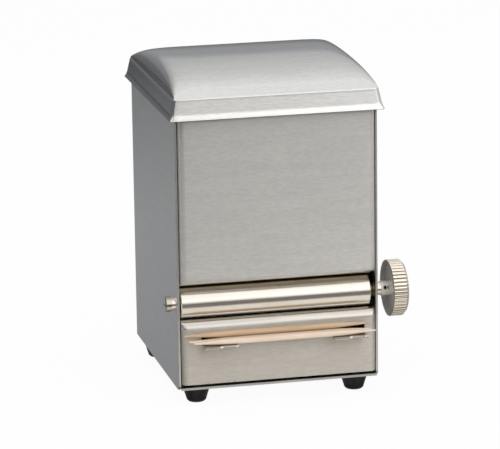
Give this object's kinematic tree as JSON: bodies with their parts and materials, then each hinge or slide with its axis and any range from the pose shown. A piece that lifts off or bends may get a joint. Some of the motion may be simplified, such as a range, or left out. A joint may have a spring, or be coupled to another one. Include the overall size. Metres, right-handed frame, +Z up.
{
  "type": "toothpick dispenser",
  "caption": "Brushed steel tabletop box with a domed lift-off lid and a knob-turned roller that drops toothpicks onto front tabs.",
  "frame": {"origin": "on the surface it stands on, under the middle of the whole part's box; the case's own middle lies 3.0 mm to -X and 1.6 mm to +Y of it, because the knob and the tabs stand out", "axes": "+Z up, +X towards the knob, -Y out of the front with the roller"},
  "size_m": [0.0834, 0.0832, 0.1143],
  "materials": {
    "brushed_case": "upright walls, horizontal brushed grain",
    "brushed_front": "horizontal brushed grain",
    "brushed_lid": "fine satin, grain from side to side",
    "plain_sheet": "unpolished sheet",
    "nickel": "polished nickel plate",
    "zinc_steel": "bright zinc plate",
    "black_steel": "black oxide",
    "foot_rubber": "moulded, matt",
    "toothpick_wood": "plain birch, fine grain lengthways"
  },
  "bodies": {
    "case": {"case_wrap": "brushed_case", "upper_front_panel": "brushed_front", "lower_front_panel": "brushed_front", "base_plate": "plain_sheet", "hopper_ramp": "plain_sheet", "front_guide": "plain_sheet", "bushing_left": "nickel", "bushing_right": "nickel", "foot_front_left": "foot_rubber", "foot_front_right": "foot_rubber", "foot_rear_left": "foot_rubber", "foot_rear_right": "foot_rubber", "foot_screws": "zinc_steel", "foot_nuts": "zinc_steel"},
    "roller": {"roller": "nickel", "axle": "zinc_steel", "thrust_washer": "zinc_steel", "end_cap": "nickel", "knob": "nickel", "knob_set_screw": "black_steel"},
    "lid": {"lid": "brushed_lid"},
    "toothpick_rear": {"toothpick_rear": "toothpick_wood"},
    "toothpick_middle": {"toothpick_middle": "toothpick_wood"},
    "toothpick_front": {"toothpick_front": "toothpick_wood"}
  },
  "joints": [
    {"name": "roller_spin", "type": "hinge", "parent": "case", "child": "roller", "pos_m": [-0.00297, -0.03118, 0.0352], "axis": [1, 0, 0], "continuous": true},
    {"name": "lid_lift", "type": "slide", "parent": "case", "child": "lid", "axis": [0, 0, 1], "range_m": [0, 0.04]},
    {"name": "toothpick_rear_pick", "type": "slide", "parent": "case", "child": "toothpick_rear", "axis": [0, -0.7071, 0.7071], "range_m": [0, 0.03]},
    {"name": "toothpick_middle_pick", "type": "slide", "parent": "case", "child": "toothpick_middle", "axis": [-1, 0, 0], "range_m": [0, 0.045]},
    {"name": "toothpick_front_pick", "type": "slide", "parent": "case", "child": "toothpick_front", "axis": [0, -0.7071, 0.7071], "range_m": [0, 0.03]}
  ]
}
